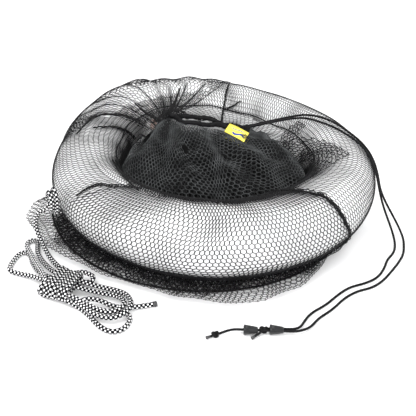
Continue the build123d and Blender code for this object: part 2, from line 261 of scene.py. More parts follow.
def tube(name, line, radius, around, materials, relief=None, paint=None, closed=False):
    """A tube along a line. relief(k, j) scales its radius and paint(k, j) picks a face's material.
    The caps of an open tube take the last material."""
    sides, ups = frames_along(line, closed)
    count = len(line)
    k, j = np.meshgrid(np.arange(count), np.arange(around), indexing="ij")
    angle = 2 * pi * j / around
    size = np.broadcast_to(np.asarray(radius, float).reshape(-1, 1), (count, around)).copy()
    if relief is not None:
        size *= relief(k, j)
    points = line[:, None] + size[..., None] * (np.cos(angle)[..., None] * sides[:, None]
                                                + np.sin(angle)[..., None] * ups[:, None])
    points = points.reshape(-1, 3)
    faces = grid_faces(count, around, closed_rows=closed, closed_columns=True)
    slots = None
    if paint is not None:
        rows = count if closed else count - 1
        a, b = np.meshgrid(np.arange(rows), np.arange(around), indexing="ij")
        slots = paint(a, b).ravel()
    if not closed:
        ring = np.arange(around)
        after, last, centre = (ring + 1) % around, (count - 1) * around, len(points)
        caps = [np.stack([np.full(around, centre), after, ring], axis=1),
                np.stack([np.full(around, centre + 1), last + ring, last + after], axis=1)]
        points = np.vstack([points, line[[0, -1]]])
        faces = [faces, *caps]
        if slots is not None:
            slots = np.concatenate([slots, np.full(2 * around, len(materials) - 1)])
    return mesh_object(name, points, faces, materials, slots)


def braid(k, j):
    """Raised yarns of a braid that are four steps long and four wide."""
    return 1.0 - 0.07 * (k % 4 == 0) - 0.07 * (j % 4 == 0)


def checks(k, j):
    """White yarn over black: a check is four steps long and four faces wide, and white leaves one of each black."""
    return np.where(((k // 4 + j // 4) % 2 == 0) & (j % 4 != 3) & (k % 4 != 3), 0, 1)


def fine_braid(k, j):
    return 1.0 + 0.07 * (((k + j) // 2) % 2) - 0.035


def lathe(name, profile, place, around, materials, flats, flat_depth):
    """A turned body from (along, radius) pairs in metres, along the X axis of place, with soft flats round it."""
    profile = np.array(profile, float)
    angle = 2 * pi * np.arange(around) / around
    size = np.repeat(profile[:, 1:2], around, axis=1)
    size = size * (1 - flat_depth * (0.5 + 0.5 * np.cos(flats * angle))[None])
    points = np.stack([np.repeat(profile[:, :1], around, axis=1), size * np.cos(angle), size * np.sin(angle)], -1)
    made = mesh_object(name, points.reshape(-1, 3), grid_faces(len(profile), around, closed_columns=True), materials)
    made.data.transform(place)
    return made


def finish_piece(piece, body, nodes=()):
    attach(piece, body)
    if nodes:
        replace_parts(piece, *nodes)
    return piece


def blend_piece(piece, nodes=()):
    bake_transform(piece)
    if nodes:
        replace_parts(piece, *nodes)
    return piece


# ------ cords
# The first points of each route are the design's own, in millimetres.
TAIL_A = [
    (48.4, 2.0, 114.7), (67, 17.3, 112.5), (88, 35.5, 109), (111, 54, 105.8), (133, 70, 102.6),
    (153, 62, 104.6), (173, 42, 105.6), (188, 19, 104.6), (202, 4, 99.6), (213.5, -9, 91.5),
    (221.5, -21.5, 80.5), (226, -33, 68), (229, -43.5, 53), (236, -52, 39),
    (246, -59, 24), (255.5, -69, 10), (260, -86, 3), (258, -103, 1.6), (254, -121, 1.6),
    (245, -139, 1.6), (233, -158, 1.6), (219, -179, 1.6), (203, -194, 1.6),
    (185, -201, 1.6), (167, -216, 1.6), (151, -238, 1.6), (132, -256, 1.6),
    (122, -274, 3.2), (107, -284.7, 5.8), (91, -284.9, 5.8), (75, -284.7, 5.8),
    (60, -284.9, 5.8), (46, -284.7, 5.8), (34, -284.9, 5.8), (25.5, -287.2, 4.4),
    (17, -290.9, 3.0), (8, -295, 2.4),
]
TAIL_B = [
    (50.7, -0.8, 114.7), (69.5, 14.2, 112.5), (91, 32, 109), (114, 49.5, 105.8), (134, 60, 102.4),
    (152, 47, 103.6), (169, 29, 105.6), (184.5, 11, 104.6), (199.5, -2, 99.6), (211.5, -14.5, 91.5),
    (219, -27, 80.5), (224, -38.5, 68), (227.5, -49.5, 53), (232, -58.5, 38.5),
    (238.5, -66.5, 23.5), (245, -76, 10), (247.5, -91, 3), (246, -106, 1.6), (241, -120, 1.6),
    (231, -134, 1.6), (225, -152, 1.6), (214, -172, 1.6), (197, -185, 1.6),
    (176, -194, 1.6), (160, -210, 1.6), (144, -230, 1.6), (125, -246, 1.6),
    (116, -262, 2.4), (111, -274.5, 4.4), (103, -281.2, 5.8), (88, -281.1, 5.8),
    (71.5, -281.3, 5.8), (65, -287, 4.8), (58, -293, 3.4),
]
TETHER_LEAD = [
    (-190, -133, 61), (-206, -129, 55), (-215, -126, 40), (-215, -127, 24), (-208, -135, 12.5),
    (-200, -151, 9.5), (-190, -168, 7.5), (-178, -184, 8.5), (-168, -199, 12),
]
HANK = [
    (-156, -209, 13), (-142, -217, 11), (-121, -221, 8), (-105, -225, 8), (-92, -232, 9), (-84, -244, 10),
    (-83, -258, 10.5), (-90, -271, 9.5), (-104, -278, 8.5), (-121, -273, 8.5), (-138, -260, 9.5),
    (-155, -240, 8.5), (-169, -229, 8), (-182, -220, 9.5), (-193, -211, 9), (-206, -202, 6), (-222, -195, 3.6),
    (-235, -191, 3.3), (-239, -182, 3.3), (-236, -165, 3.3), (-232, -153, 3.3), (-224, -149, 3.3),
    (-217, -157, 3.4), (-213, -171, 4),
    (-205, -187, 6.5), (-193, -203, 10), (-180, -213, 12.5), (-166, -221.5, 13.5), (-151, -226, 11.5),
    (-135, -228, 8), (-116, -231, 6.5), (-102, -235, 7.5), (-93, -243, 9.5), (-90, -254, 10.5), (-96, -264, 10),
    (-108, -268, 8.5), (-121, -263, 8.5), (-137, -252, 9.5), (-155, -244, 12), (-172, -235, 13.5), (-186, -222, 13.5),
    (-193, -205, 13), (-202, -186, 9), (-213, -164, 5.5), (-221, -147, 4), (-228, -134, 3.5), (-225, -124.5, 3.3),
    (-218, -122.5, 3.3), (-213.5, -129, 3.4), (-212, -142, 4), (-209, -154, 4.5), (-201, -169, 5.5),
    (-192, -183, 8), (-182, -198, 11.5),
    (-170, -209, 15), (-156, -207, 16), (-147, -200, 14), (-140, -199, 11.5), (-132, -203, 9.5), (-134, -211, 8),
    (-144, -214, 7.5),
    (-154, -214.5, 7.3), (-164, -215, 7), (-177, -214, 6.5), (-189, -217, 3.6), (-195, -225, 3.4), (-188, -234, 3.6),
    (-175, -239, 6), (-160, -245, 6.5), (-147, -252, 5), (-137, -259, 3.6), (-128, -269, 3.3), (-121, -279, 3.3),
    (-112, -289, 3.3), (-101, -294.5, 3.3), (-90, -291, 3.3), (-83.5, -280, 3.3), (-82, -268, 3.3),
    (-88, -260.5, 3.3), (-102, -260, 3.3), (-119, -257, 3.3), (-136, -250, 4.5), (-151, -243, 8), (-163, -238, 11),
    (-173, -230, 17), (-182, -227, 20.5), (-188, -231, 18.5),
]
FREE_END = [
    (-154, -251, 7), (-143, -250, 9.5), (-131, -246, 11), (-118, -247, 9), (-106, -250.5, 4.6),
    (-94, -252, 3.5), (-83, -250, 3.3), (-71, -247.5, 3.3), (-58, -243, 3.3),
]
WRAP_CENTRE = np.array((-167.0, -222.0))
WRAP_AXIS = np.array((0.916, -0.402))
WRAP_ACROSS = np.array((0.402, 0.916))
WRAP_TURNS, WRAP_POINTS, WRAP_PITCH = 5, 12, 6.3
WRAP_FLAT, WRAP_ROUND, WRAP_Z = 13.4, 8.6, 12.0   # half of the oval's flat side, its ends' radius, its middle's height


def wrap_oval(turn):
    """A point on the wraps' flat oval, evenly spaced by turns round it: across and up."""
    angle = pi + np.radians(np.arange(361))
    across = WRAP_FLAT * np.clip(3 * np.cos(angle), -1, 1) + WRAP_ROUND * np.cos(angle)
    up = WRAP_ROUND * np.sin(angle)
    way = np.concatenate([[0], np.cumsum(np.hypot(np.diff(across), np.diff(up)))])
    return np.interp(turn % 1 * way[-1], way, across), np.interp(turn % 1 * way[-1], way, up)


def wrap_turns():
    """The turns that tie the hank, as more points of the same spline."""
    made = []
    for n in range(WRAP_TURNS * WRAP_POINTS + 1):
        turn = n / WRAP_POINTS
        angle = pi + 2 * pi * turn
        across, up = wrap_oval(turn)
        along = (turn - WRAP_TURNS / 2) * WRAP_PITCH + 1.5 * sin(angle)
        out = across * (1 + 0.05 * sin(2.3 * turn)) + 0.8 * sin(1.7 * turn)
        at = WRAP_CENTRE + WRAP_AXIS * along + WRAP_ACROSS * out
        made.append((at[0], at[1], WRAP_Z + up))
    return made


ROPE_FINISHES = [rope_white, rope_black, rope_melted]
tail_a_line = spline_line(mm(TAIL_A), STRING_STEP)
tail_b_line = spline_line(mm(TAIL_B), STRING_STEP)
tether_line = spline_line(mm(TETHER_LEAD + HANK + wrap_turns() + FREE_END), ROPE_STEP)
tail_a = tube("tail_a", tail_a_line, STRING, STRING_FACES, [cord_black], fine_braid)
tail_b = tube("tail_b", tail_b_line, STRING, STRING_FACES, [cord_black], fine_braid)
tether = tube("tether", tether_line, ROPE, ROPE_FACES, ROPE_FINISHES, braid, checks)
blend_piece(tail_a, ["tail_a_upper", "tail_a_lower"])
blend_piece(tail_b, ["tail_b_upper", "tail_b_lower"])
blend_piece(tether, ["tether_rope", "tether_hank", "tether_tail"])


# ------ what is on the cords
def knot_line(centre, size, turn, tilt):
    """A tied overhand knot's line, drawn tight, in metres and radians."""
    step = 0.0008
    t = np.linspace(0, 2 * pi, 240, endpoint=False)
    made = np.stack([np.sin(t) + 2 * np.sin(2 * t), np.cos(t) - 2 * np.cos(2 * t), -1.35 * np.sin(3 * t)], axis=1)
    made = spaced(np.vstack([made, made[:1]]) * size / 3, step)[:-1]
    place = Matrix.Rotation(turn, 3, "Z") @ Matrix.Rotation(tilt, 3, "X")
    return made @ np.array(place).T * np.array((1.25, 1.0, 1.0)) + np.array(centre)


def melted_tip(name, line, radius, around, flare):
    """The melted, slightly flared end of a cord, in line with its last run."""
    way = unit(line[-1] - line[-6])
    at = line[-1] + np.linspace(-0.0006, 0.0045, 14)[:, None] * way
    size = radius * np.interp(np.arange(14), [0, 3, 9, 12, 13], [1.0, 1.02, flare, flare * 0.9, flare * 0.35])

    def lumps(k, j):
        return 1 + 0.10 * np.sin(3 * 2 * pi * j / around + 0.9 * k) + 0.05 * np.sin(5 * 2 * pi * j / around - k)
    return tube(name, at, size, around, [rope_melted], lumps)


knot_mid = tube("tail_knot_mid", knot_line((0.0685, -0.2834, 0.0058), 0.0034, 0.3, 1.2), STRING, STRING_FACES,
                [cord_black], fine_braid, closed=True)
end_knot = tube("tail_knot_end", knot_line((0.0145, -0.2925, 0.0044), 0.0029, 0.5, 0.9), STRING, STRING_FACES,
                [cord_black], fine_braid, closed=True)
tip_a = melted_tip("tail_a_end", tail_a_line, STRING, 16, 1.35)
tip_b = melted_tip("tail_b_end", tail_b_line, STRING, 16, 1.3)
tether_end = melted_tip("tether_end", tether_line, ROPE, ROPE_FACES, 1.12)
finish_piece(knot_mid, "bag_base", ["knot_mid"])
finish_piece(end_knot, "bag_base", ["end_knot"])
finish_piece(tip_a, "bag_base", ["tail_a_tip"])
finish_piece(tip_b, "bag_base", ["tail_b_tip"])
finish_piece(tether_end, "bag_base", ["tether_tip"])

BELL_PROFILE = mm([(0.0, 2.0), (0.0, 2.9), (0.35, 3.45), (1.0, 3.75), (2.5, 4.0), (6, 4.55), (10, 5.1), (13.2, 5.5),
                   (13.6, 5.75), (15.3, 5.8), (15.9, 5.5), (16.0, 5.0), (15.7, 4.4), (14.2, 4.1), (13.8, 2.2),
                   (9, 2.0), (4, 2.0), (0.0, 2.0)])


def bell(name, node):
    """A moulded cord stopper with a rim, eight soft flats and an open wide end."""
    low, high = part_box(node)
    place = (Matrix.Translation((high.x, (low.y + high.y) / 2, (low.z + high.z) / 2))
             @ Matrix.Rotation(pi, 4, "Z") @ Matrix.Rotation(0.4, 4, "X"))
    made = lathe(name, BELL_PROFILE, place, 64, [plastic_black], 8, 0.05)
    return finish_piece(made, node, [node])


bell_inner = bell("stopper_inner", "bell_inner")
bell_outer = bell("stopper_outer", "bell_outer")

KNOT_MIDDLE = mm((-187.0, -131.0, 70.0))
KNOT_AROUND = np.array((0.574, -0.819, 0.0))
KNOT_OUT = np.array((-0.819, -0.574, 0.0))
KNOT_ROUTE = [
    (6, -13, -5), (2, -16, -3), (-4, -14, -1), (-8, -5, 0), (-8, 6, 0.5), (-4, 15, 1), (2, 17, 1.5), (7, 11, 2),
    (8.5, 0, 2), (7, -11, 2), (1, -17, 2.5), (-5, -13, 4), (-8, -3, 6), (-7, 8, 7), (-2, 14, 7.5), (4, 12, 8),
    (7.5, 3, 8), (6, -8, 8), (0, -13, 7.5), (-5, -8, 9), (-4, -4, 5), (1, -2, 1), (4, 2, -3),
]
knot_route = [KNOT_MIDDLE + 0.001 * (a * KNOT_AROUND + c * KNOT_OUT) + np.array((0, 0, 0.001 * b))
              for a, b, c in KNOT_ROUTE]
tether_knot = tube("tether_knot_loop", spline_line(knot_route, ROPE_STEP), ROPE, ROPE_FACES,
                   ROPE_FINISHES, braid, checks)
finish_piece(tether_knot, "ring", ["tether_knot"])


# ------ the ring
# How far the ring is out of round, in millimetres, by degrees round it.
OUT_OF_ROUND = {-180: -17, -150: -2, -120: 1, -90: 8, -60: 7, -30: 9, 0: 4, 30: -16, 60: -24, 90: -9, 120: 0, 138: -1,
                150: -8, 165: -14}


def smooth_table():
    degrees = np.arange(-540, 541)
    rough = np.interp(degrees, list(OUT_OF_ROUND), list(OUT_OF_ROUND.values()), period=360)
    weights = np.exp(-0.5 * (np.arange(-30, 31) / 12.0) ** 2)
    return degrees, np.convolve(rough, weights / weights.sum(), mode="same") * 0.001


ROUND_AT, ROUND_BY = smooth_table()


def ring_point(u, v, distance):
    """Points at degrees u round the ring and v round the tube, at a distance from the tube's middle line."""
    u, v, distance = np.broadcast_arrays(np.asarray(u, float), v, distance)
    out = RING_RADIUS + np.interp((u + 180) % 360 - 180, ROUND_AT, ROUND_BY) + distance * np.cos(np.radians(v))
    return np.stack([out * np.cos(np.radians(u)), out * np.sin(np.radians(u)),
                     RING_Z + distance * np.sin(np.radians(v))], axis=-1)


def make_ring():
    around, across = 640, 96
    u, v = np.meshgrid(360 * np.arange(around) / around, 360 * np.arange(across) / across, indexing="ij")
    inner = np.exp(-((np.abs((v % 360) - 180) / 38) ** 2))
    outer = np.exp(-((np.minimum(v % 360, 360 - v % 360) / 16) ** 2))
    pucker = np.abs(np.sin(np.radians(u) * 23 + 1.3 * np.sin(np.radians(u) * 5)))
    small = np.abs(np.sin(np.radians(u) * 61 + 2.0 * np.sin(np.radians(u) * 7)))
    weld = np.exp(-((np.minimum(v % 360, 360 - v % 360) / 1.6) ** 2)) + np.exp(-((np.abs((v % 360) - 180) / 1.8) ** 2))
    distance = FILM_RADIUS - 0.0016 * inner * (1 - pucker) - 0.0006 * outer * (1 - small)
    distance = distance - 0.0003 * np.sin(np.radians(u) * 9 + np.radians(v) * 2) ** 2 + 0.0005 * weld
    made = mesh_object("inflated_ring", ring_point(u, v, distance).reshape(-1, 3),
                       grid_faces(around, across, True, True), [pvc_white])
    return finish_piece(made, "ring", ["float_tube"])


make_ring()


# ------ netting
def net(name, columns, rows, place, finish, thread=THREAD, double=1.3, keep=None, closed=False, nod=0.17):
    """Hexagonal netting: place(s, t) gives the point for each share of its width and length. Threads along the length
    are double times as thick, keep(points) says which knots stay, and nod is how far a knot is off its row's middle."""
    i = np.arange(2 * columns + (0 if closed else 1))
    a, b = np.meshgrid(i, np.arange(rows), indexing="ij")
    up = (a + b) % 2 == 0
    s, t = a / (2 * columns), (b + 0.5 + np.where(up, nod, -nod)) / rows
    points = place(s.ravel(), t.ravel())
    number = a * rows + b
    if closed:
        across = (number.ravel(), np.roll(number, -1, axis=0).ravel())
    else:
        across = (number[:-1].ravel(), number[1:].ravel())
    rising = up[:, :-1]
    along = (number[:, :-1][rising], number[:, 1:][rising])
    first, last = np.concatenate([across[0], along[0]]), np.concatenate([across[1], along[1]])
    size = np.concatenate([np.full(len(across[0]), thread), np.full(len(along[0]), thread * double)])
    if keep is not None:
        good = keep(points)
        both = good[first] & good[last]
        first, last, size = first[both], last[both], size[both]
    start, end = points[first], points[last]
    way = unit(end - start)
    start, end = start - way * size[:, None] * CAP_THREAD, end + way * size[:, None] * CAP_THREAD
    other = np.where(np.abs(way[:, 2:]) > 0.9, (1.0, 0.0, 0.0), (0.0, 0.0, 1.0))
    side = unit(np.cross(way, other)) * size[:, None]
    over = unit(np.cross(way, side)) * size[:, None]
    ring = [side, over, -side, -over]
    corners = np.stack([start + r for r in ring] + [end + r for r in ring], axis=1)
    base = 8 * np.arange(len(start))[:, None]
    quads = np.stack([base + (k, (k + 1) % 4, (k + 1) % 4 + 4, k + 4) for k in range(4)], axis=1)
    return mesh_object(name, corners.reshape(-1, 3), quads.reshape(-1, 4), [finish])


def lerp(a, b, share):
    return a + (b - a) * share


def smoothstep(x):
    x = np.clip(x, 0, 1)
    return x * x * (3 - 2 * x)


SEAM_V = [-65, -36, -17, 14, 45, 67, 89, 109, 127, 145]
SEAM_U = [-41, -40, -39, -42.5, -44.5, -46, -51, -55, -58, -61]


def seam_right(v):
    """The cross seam at the front right, where the front sleeve ends, in degrees round the ring."""
    return np.interp(v, SEAM_V, SEAM_U)


def seam_left(v):
    """The front sleeve's other end."""
    return np.interp(v, [-65, 24, 73, 95, 133, 145], [-152, -140, -129, -124, -131, -134])


def loose(u, v):
    """How far the sleeve stands off the film, in a few soft places."""
    wave = np.sin(np.radians(u) * 7 + np.radians(v) * 1.5) * np.sin(np.radians(u) * 3 + 1)
    return 0.0010 * wave ** 2


def front_sleeve(s, t):
    v = lerp(LOW_V, HIGH_V, t)
    band = 0.010 * np.sin(2 * pi * (2.3 * s - 1.6 * t)) * np.sin(pi * s) + 0.004 * np.sin(2 * pi * (5 * s + 2 * t))
    u = lerp(seam_left(v), seam_right(v), s + band * np.sin(pi * s))
    v = v + 1.5 * np.sin(2 * pi * (3 * s + 0.4)) * np.sin(pi * t)
    return ring_point(u, v, NET_AT + loose(u, v))


def rear_sleeve(s, t):
    v = lerp(LOW_V, HIGH_V, t)
    band = 0.004 * np.sin(2 * pi * (6 * s + 1.1 * t)) + 0.0025 * np.sin(2 * pi * (13 * s - 0.8 * t))
    u = lerp(seam_right(v), seam_left(v) + 360, s + band * np.sin(pi * s))
    v = v + 2.5 * np.sin(2 * pi * (7 * s)) * np.sin(pi * t)
    return ring_point(u, v, NET_AT + loose(u, v))


VALVE = ring_point(131.0, 172.0, FILM_RADIUS)


def off_valve(points):
    """Leaves out the sleeve's netting over the valve, low on the ring's inner side at the back, and under the drape."""
    angle = np.degrees(np.arctan2(points[:, 1], points[:, 0]))
    out = np.hypot(points[:, 0], points[:, 1])
    low = (points[:, 2] < 0.0785) & (out < 0.150) & (angle > 8) & (angle < 112)
    draped = (points[:, 2] > 0.080) & (out > 0.150) & (angle > 92) & (angle < 164)
    return (np.linalg.norm(points - VALVE, axis=1) > 0.013) & ~low & ~draped


sleeve_front = net("sleeve_front", 66, 38, front_sleeve, net_black)
sleeve_rear = net("sleeve_rear", 205, 31, rear_sleeve, net_black, REAR_THREAD, keep=off_valve, nod=0.22)
finish_piece(sleeve_front, "ring", ["sleeve_net"])
finish_piece(sleeve_rear, "ring")


def ring_line(v, distance, count, wave=0.0):
    u = 360 * np.arange(count) / count
    return ring_point(u, v + wave * np.sin(np.radians(u) * 11), distance)


def twisted(k, j):
    return 1 + 0.10 * np.sin(2 * pi * j / 12 * 3 + k * 0.9)


lower_seam = tube("lower_seam_tape", ring_line(LOW_V, LOW_SEAM_AT, 900), 0.0019, 12, [tape_black], twisted, closed=True)
inner_seam = tube("inner_seam_tape", ring_line(INNER_SEAM_V, INNER_SEAM_AT, 900, 1.2), 0.0008, 12, [tape_black],
                  twisted, closed=True)
finish_piece(lower_seam, "ring", ["lower_seam"])
finish_piece(inner_seam, "ring", ["inner_seam"])


def on_sleeve(pairs, lift, step=0.002):
    """A smooth line over the sleeve through (u, v) pairs in degrees."""
    pairs = np.array(pairs, float)
    share = np.linspace(0, 1, len(pairs))
    fine = np.linspace(0, 1, 12 * len(pairs))
    return spaced(ring_point(np.interp(fine, share, pairs[:, 0]), np.interp(fine, share, pairs[:, 1]),
                             NET_AT + lift), step)


def rolled_net(name, line, radius, columns, pitch=0.0035, ragged=0.35):
    """A fold of bunched netting that follows a line; radius has the roll's radii from its start to its end."""
    line = spaced(line, 0.0015)
    sides, ups = frames_along(line)
    rows = max(3, int(length_of(line) / pitch))
    share = np.linspace(0, 1, len(line))
    size = np.interp(share, np.linspace(0, 1, len(radius)), radius)

    def place(s, t):
        at = [np.interp(t, share, array[:, k]) for array in (line, sides, ups) for k in range(3)]
        middle, side, over = (np.stack(at[3 * n:3 * n + 3], axis=1) for n in range(3))
        angle = 2 * pi * s + 1.5 * t
        r = np.interp(t, share, size) * (1 + ragged * np.sin(3 * angle + 17 * t) * np.sin(31 * t + 2 * angle))
        return middle + r[:, None] * (np.cos(angle)[:, None] * side + np.sin(angle)[:, None] * over)
    return net(name, columns, rows, place, net_black, closed=True)


def fold(name, pairs, radius, lift=0.0018, columns=3):
    """A thin fold of netting over the sleeve through (u, v) pairs in degrees."""
    finish_piece(rolled_net(name, on_sleeve(pairs, lift), radius, columns), "ring")


cross_line = on_sleeve([(u, v) for v, u in zip(SEAM_V, SEAM_U)], 0.0014, 0.0008)
cross_seam = tube("cross_seam_tape", cross_line, 0.0013, 12, [tape_black], twisted)
finish_piece(cross_seam, "ring", ["cross_seam"])
fold("cross_seam_fold", [(u, v) for v, u in zip(SEAM_V[1:], SEAM_U[1:])], (0.0012, 0.0020, 0.0026, 0.0022))
fold("drape_edge_fold", [(186, 72), (177.8, 80), (171, 86), (164, 100), (160, 114), (150, 138), (140, 161)],
     (0.0006, 0.0010, 0.0012, 0.0022), 0.0040)
fold("drape_second_fold", [(178.8, 93), (174.7, 112), (166, 133), (160, 151), (153, 172)],
     (0.0005, 0.001, 0.0016), 0.0016)
fold("left_fold_high", [(-155, 133), (-146, 133), (-135, 121), (-125, 104), (-118, 94)],
     (0.0008, 0.0010, 0.0005), 0.0008, 2)
fold("left_fold_wide", [(-139, 35), (-137, 51), (-134, 69), (-129, 79), (-124, 93), (-118, 104)],
     (0.0005, 0.0014, 0.0015, 0.0006), 0.0008, 3)
fold("back_fold", [(81, 66), (81, 115), (81, 136), (81.4, 155), (81.5, 180)], (0.0006, 0.0009, 0.0009, 0.0014), 0.0016)
fold("back_fold_side", [(81, 148), (75, 138), (70, 123)], (0.0014, 0.0009, 0.0004), 0.0014)


def second_layer(s, t):
    """Netting of the neck that lies over the ring on the right."""
    start_u, start_v = lerp(34, 13, s), lerp(192, 188, s)
    end_u, end_v = lerp(-15, -37, s), lerp(78, 116, s)
    u = lerp(start_u, end_u, t) + 2.0 * np.sin(2 * pi * t + 5 * s)
    v = lerp(start_v, end_v, t)
    return ring_point(u, v, NET_AT + 0.0018 + 0.0016 * np.sin(9 * s + 4 * t) ** 2)


patch = net("neck_over_ring", 9, 20, second_layer, net_black)
finish_piece(patch, "ring")


def right_strip(s, t):
    """Netting that is doubled where it is folded under, from the neck to the ring's top on the right."""
    v = lerp(176, 119, t)
    left = np.interp(v, [131, 143, 160, 173], [26, 28, 29, 30.5])
    right = np.interp(v, [118, 128, 144, 167], [20, 19, 16.5, 19.5])
    return ring_point(lerp(left, right, s), v, NET_AT + 0.0016 + 0.001 * np.sin(11 * t + 5 * s) ** 2)


def rim_layer(s, t):
    """The neck's netting that comes over the ring's inner edge at the front."""
    low = 97 + 7 * np.sin(2 * pi * 2.4 * s) + 5 * np.sin(2 * pi * 5.3 * s + 1) + 16 * np.abs(2 * s - 1) ** 3
    return ring_point(lerp(-140, -52, s) + 2.5 * np.sin(6 * t + 9 * s), lerp(158, low, t), NET_AT + 0.0014)


strip = net("neck_fold_right", 4, 10, right_strip, net_black)
rim = net("neck_over_front", 44, 11, rim_layer, net_black, NECK_THREAD)
for piece, flat in ((strip, (0.026, 0.062)), (rim, (0.235, 0.048))):
    finish_piece(piece, "ring")

# ------ the drape at the back left
GATHER = mm([(-60, -26, 99), (-63, 0, 107), (-64, 24, 113), (-58, 40, 116), (-46, 42, 117)])


def gather_point(s):
    share = np.linspace(0, 1, len(GATHER))
    return np.stack([np.interp(s, share, GATHER[:, k]) for k in range(3)], axis=1)


def drape(s, t):
    """Netting from the ring's outer side (t = 0) up over it to the gather at the mouth (t = 1)."""
    steps = [0, 0.2, 0.4, 0.6, 0.8, 1]
    left_u = np.interp(t, steps, [187, 178, 168, 158, 146, 133])
    left_v = np.interp(t, steps, [40, 79, 91, 118, 150, 178])
    right_u, right_v = np.interp(t, [0, 0.5, 1], [80, 84, 100]), lerp(24, 168, t)
    u, v = lerp(left_u, right_u, s), lerp(left_v, right_v, s)
    bulge = 0.0060 * np.sin(pi * np.clip(t * 1.25, 0, 1)) * np.sin(pi * s) ** 2 * (0.8 + 0.6 * np.sin(14 * s + 1.5))
    pleat = 0.0045 * smoothstep(t * 1.6) * np.sin(2 * pi * 8 * s + 1.2 * np.sin(5 * s)) * np.sin(pi * s) ** 0.5
    on_ring = ring_point(u + 1.8 * np.sin(2 * pi * 8 * s) * t, v, NET_AT + 0.0024 + bulge + np.maximum(pleat, -0.0015))
    share = smoothstep((t - 0.52) / 0.48)[:, None]
    made = on_ring * (1 - share) + gather_point(s) * share
    made[:, 2] += 0.006 * np.sin(2 * pi * 8 * s) * (share[:, 0] * (1 - share[:, 0])) * 4 * 0.5
    return made


drape_net = net("drape", 54, 27, drape, net_black, NECK_THREAD, nod=0.2)
finish_piece(drape_net, "ring")


def gather_strip(name, start, u, v, radius):
    """A bunched pleat from the gather to the ring's top."""
    end = mm(start) * 0.3 + ring_point(u, v, NET_AT + 0.005) * 0.7
    share = np.linspace(0, 1, 14)[:, None]
    line = mm(start) * (1 - share) + end * share
    line[:, 2] -= 0.004 * np.sin(pi * share[:, 0])
    finish_piece(rolled_net(name, line, [0.5 * r for r in radius], 4, 0.0032, 0.5), "ring")


gather_strip("pleat_low", (-61, -20, 101), 160, 150, (0.0040, 0.0036, 0.0024, 0.0010))
gather_strip("pleat_left", (-64, 14, 111), 141, 96, (0.0050, 0.0036, 0.0020, 0.0008))
gather_strip("pleat_right", (-56, 38, 116), 104, 86, (0.0056, 0.0040, 0.0024, 0.0010))


bunch_line = mm([(-50, -44, 92), (-57, -30, 97), (-61, -12, 103), (-63, 6, 108), (-62, 24, 112), (-55, 34, 115),
                 (-44, 34, 116), (-34, 30, 117)])
bunch = rolled_net("gather_bunch", bunch_line, (0.0018, 0.0042, 0.0060, 0.0066, 0.0074, 0.0066, 0.0046, 0.0020), 9,
                   0.0030, 0.4)
finish_piece(bunch, "ring")

# ------ the mouth net
MOUTH = np.array((-0.0025, 0.009))
MOUTH_TURN = radians(-18)
HEM_Z = 0.1147
NET_TOP_Z = HEM_Z - 0.003
TUCK = 0.86                # the share of the mouth net after which it is tucked under


def mouth_point(angle, grow=0.0):
    """A point on the mouth's oval by degrees round it, from its right-hand end."""
    a, b = (0.055 + grow) * np.cos(np.radians(angle)), (0.0075 + grow) * np.sin(np.radians(angle))
    return (MOUTH[0] + a * cos(MOUTH_TURN) - b * sin(MOUTH_TURN), MOUTH[1] + a * sin(MOUTH_TURN) + b * cos(MOUTH_TURN))


FOOT_AT = [-158, -135, -100, -60, -34, -24, -7, 12, 24]
FOOT_R = [0.128, 0.133, 0.137, 0.139, 0.138, 0.131, 0.110, 0.087, 0.074]
FOOT_Z = [0.074, 0.080, 0.083, 0.084, 0.082, 0.080, 0.080, 0.082, 0.086]


def crumple(x, y, size, seed):
    """Fixed noise over the ground plan, from -1 to 1, with lumps about as large as size."""
    return np.array([noise.noise(Vector((a / size, b / size, seed))) for a, b in zip(x, y)])


def mound_surface(s, t, drop, seed):
    """From the mouth's front edge (t = 0) down to the ring's inner wall and tucked under (t = 1)."""
    edge_x, edge_y = mouth_point(184 + 178 * s, 0.002)
    at = lerp(-158.0, 24.0, s)
    out = np.interp(at, FOOT_AT, FOOT_R) + np.interp(at, ROUND_AT, ROUND_BY) * 0.8
    foot_z = np.interp(at, FOOT_AT, FOOT_Z)
    foot_x, foot_y = out * np.cos(np.radians(at)), out * np.sin(np.radians(at))
    q = np.clip(t / TUCK, 0, 1)
    under = np.clip((t - TUCK) / (1 - TUCK), 0, 1)
    x, y = lerp(edge_x, foot_x, q ** 0.95), lerp(edge_y, foot_y, q ** 0.95)
    z = lerp(NET_TOP_Z, foot_z, q ** 1.75) + 0.004 * np.sin(pi * q)
    shrink = 1 - 0.10 * under
    x, y, z = x * shrink, y * shrink, z - 0.022 * under
    ridges = np.sin(2 * pi * (6.5 * s + 0.5 * np.sin(3 * t + seed)) + seed) * np.sin(pi * np.clip(q * 0.9 + 0.05, 0, 1))
    lumps = crumple(x, y, 0.034, seed) + 0.5 * crumple(x, y, 0.013, seed + 7)
    z = z + (0.0056 - 0.0036 * s) * ridges + 0.0075 * lumps * np.sin(pi * np.clip(q, 0.04, 0.96)) - drop
    return np.stack([x, y, z], axis=1)


def mound_net(name, columns, rows, drop, seed, skew):
    """One layer of the mouth's netting, drop metres below the top one."""
    def place(s, t):
        warp = s + 0.017 * np.sin(2 * pi * (5 * s + skew * t) + seed) * np.sin(pi * s)
        warp = warp + 0.05 * skew * t * np.sin(pi * s)
        return mound_surface(np.clip(warp, 0, 1), t, drop, seed * 0.15 + 1)
    # The top layer takes the lighter copy, a painted highlight on its threads; the layers under it take the plain
    # black.
    made = net(name, columns, rows, place, mound_top_painted_highlight if drop == 0 else net_black, MOUND_THREAD)
    finish_piece(made, "ring")
    return made


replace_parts(mound_net("mound_net_1", 66, 34, 0.0, 1.0, 0.5), "neck_net")
mound_net("mound_net_2", 58, 30, 0.0036, 2.1, -0.6)
mound_net("mound_net_3", 64, 33, 0.0072, 3.4, 0.8)


